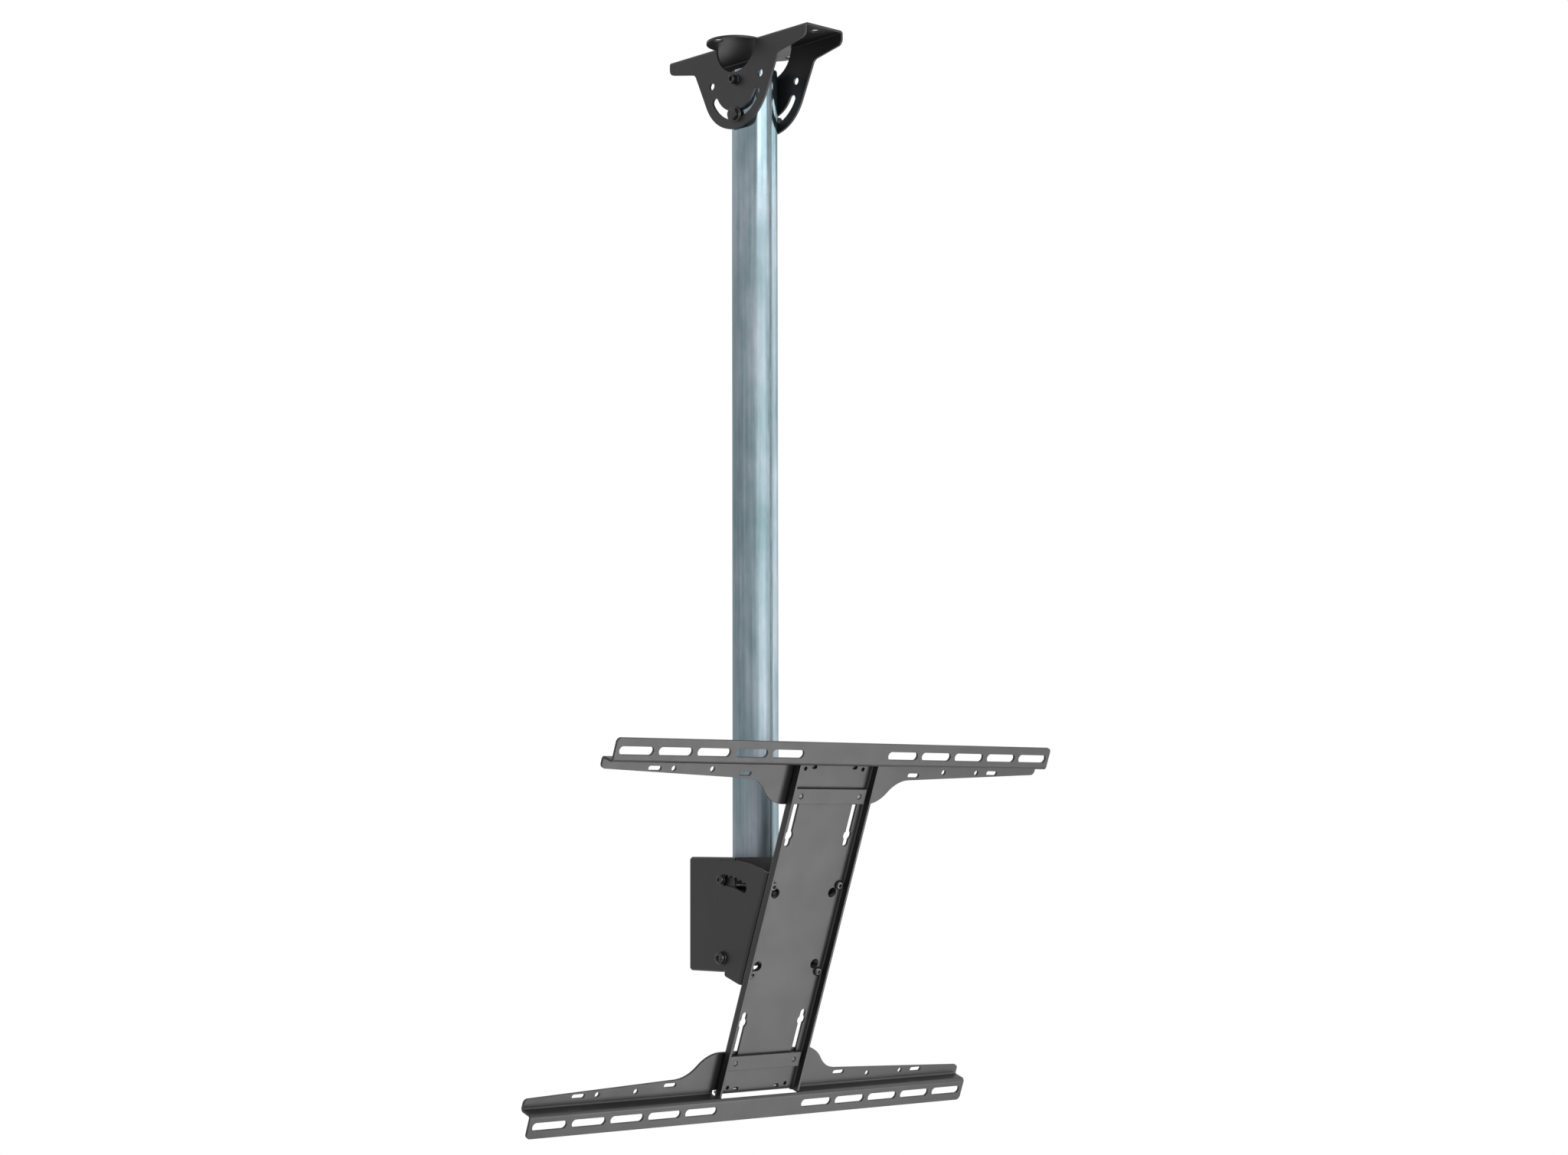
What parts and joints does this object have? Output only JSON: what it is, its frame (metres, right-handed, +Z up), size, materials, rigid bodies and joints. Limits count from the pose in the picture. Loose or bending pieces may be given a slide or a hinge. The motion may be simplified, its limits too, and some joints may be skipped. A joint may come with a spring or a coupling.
{
  "type": "ceiling screen mount",
  "caption": "Ceiling mount for a flat screen: hinged ceiling bracket, round pole, clamped swivel head, tilting column and slotted height-adjustable arms.",
  "frame": {"origin": "centre of the ceiling bracket's top face, on the axis of the pole", "axes": "+Z up to the ceiling, -Y to the front where the screen hangs, +X along the arms"},
  "size_m": [0.626, 0.258, 1.1691],
  "materials": {
    "black_coat": "satin",
    "galvanised": "bright",
    "black_screws": "satin",
    "zinc": "satin"
  },
  "bodies": {
    "ceiling": {"ceiling_bracket": "black_coat", "pivot_bolt": "black_screws", "pivot_washers": "black_screws", "pivot_nut": "black_screws"},
    "pole": {"pole": "galvanised", "lock_bolt": "black_screws", "lock_nut": "black_screws"},
    "head": {"head_box": "black_coat", "pole_saddles": "zinc", "clamp_bows": "zinc", "clamp_bow_washers": "zinc", "clamp_bow_nuts": "zinc", "tilt_pivot_screws": "black_screws", "tilt_pivot_washers": "black_screws", "tilt_pivot_nuts": "black_screws", "tilt_lock_screws": "black_screws", "tilt_lock_washers": "black_screws", "tilt_lock_nuts": "black_screws"},
    "screen_frame": {"tilt_bracket": "black_coat", "column": "black_coat", "column_screws": "black_screws", "column_washers": "black_screws", "column_nuts": "black_screws"},
    "upper_arm": {"upper_arm": "black_coat", "upper_clamp_bar": "black_coat", "upper_clamp_screws": "black_screws", "upper_clamp_washers": "black_screws"},
    "lower_arm": {"lower_arm": "black_coat", "lower_clamp_bar": "black_coat", "lower_clamp_screws": "black_screws", "lower_clamp_washers": "black_screws"}
  },
  "joints": [
    {"name": "ceiling_slope", "type": "hinge", "parent": "ceiling", "child": "pole", "pos_m": [0, 0, -0.041], "axis": [1, 0, 0], "range_deg": [-60, 60]},
    {"name": "swivel", "type": "hinge", "parent": "pole", "child": "head", "pos_m": [0, 0, -0.944], "axis": [0, 0, 1], "range_deg": [-180, 180]},
    {"name": "tilt", "type": "hinge", "parent": "head", "child": "screen_frame", "pos_m": [0, -0.0096, -0.9951], "axis": [1, 0, 0], "range_deg": [-23, 0]},
    {"name": "upper_arm_height", "type": "slide", "parent": "screen_frame", "child": "upper_arm", "axis": [0, -0.342, 0.9397], "range_m": [-0.05, 0]},
    {"name": "lower_arm_height", "type": "slide", "parent": "screen_frame", "child": "lower_arm", "axis": [0, -0.342, 0.9397], "range_m": [0, 0.05]}
  ]
}
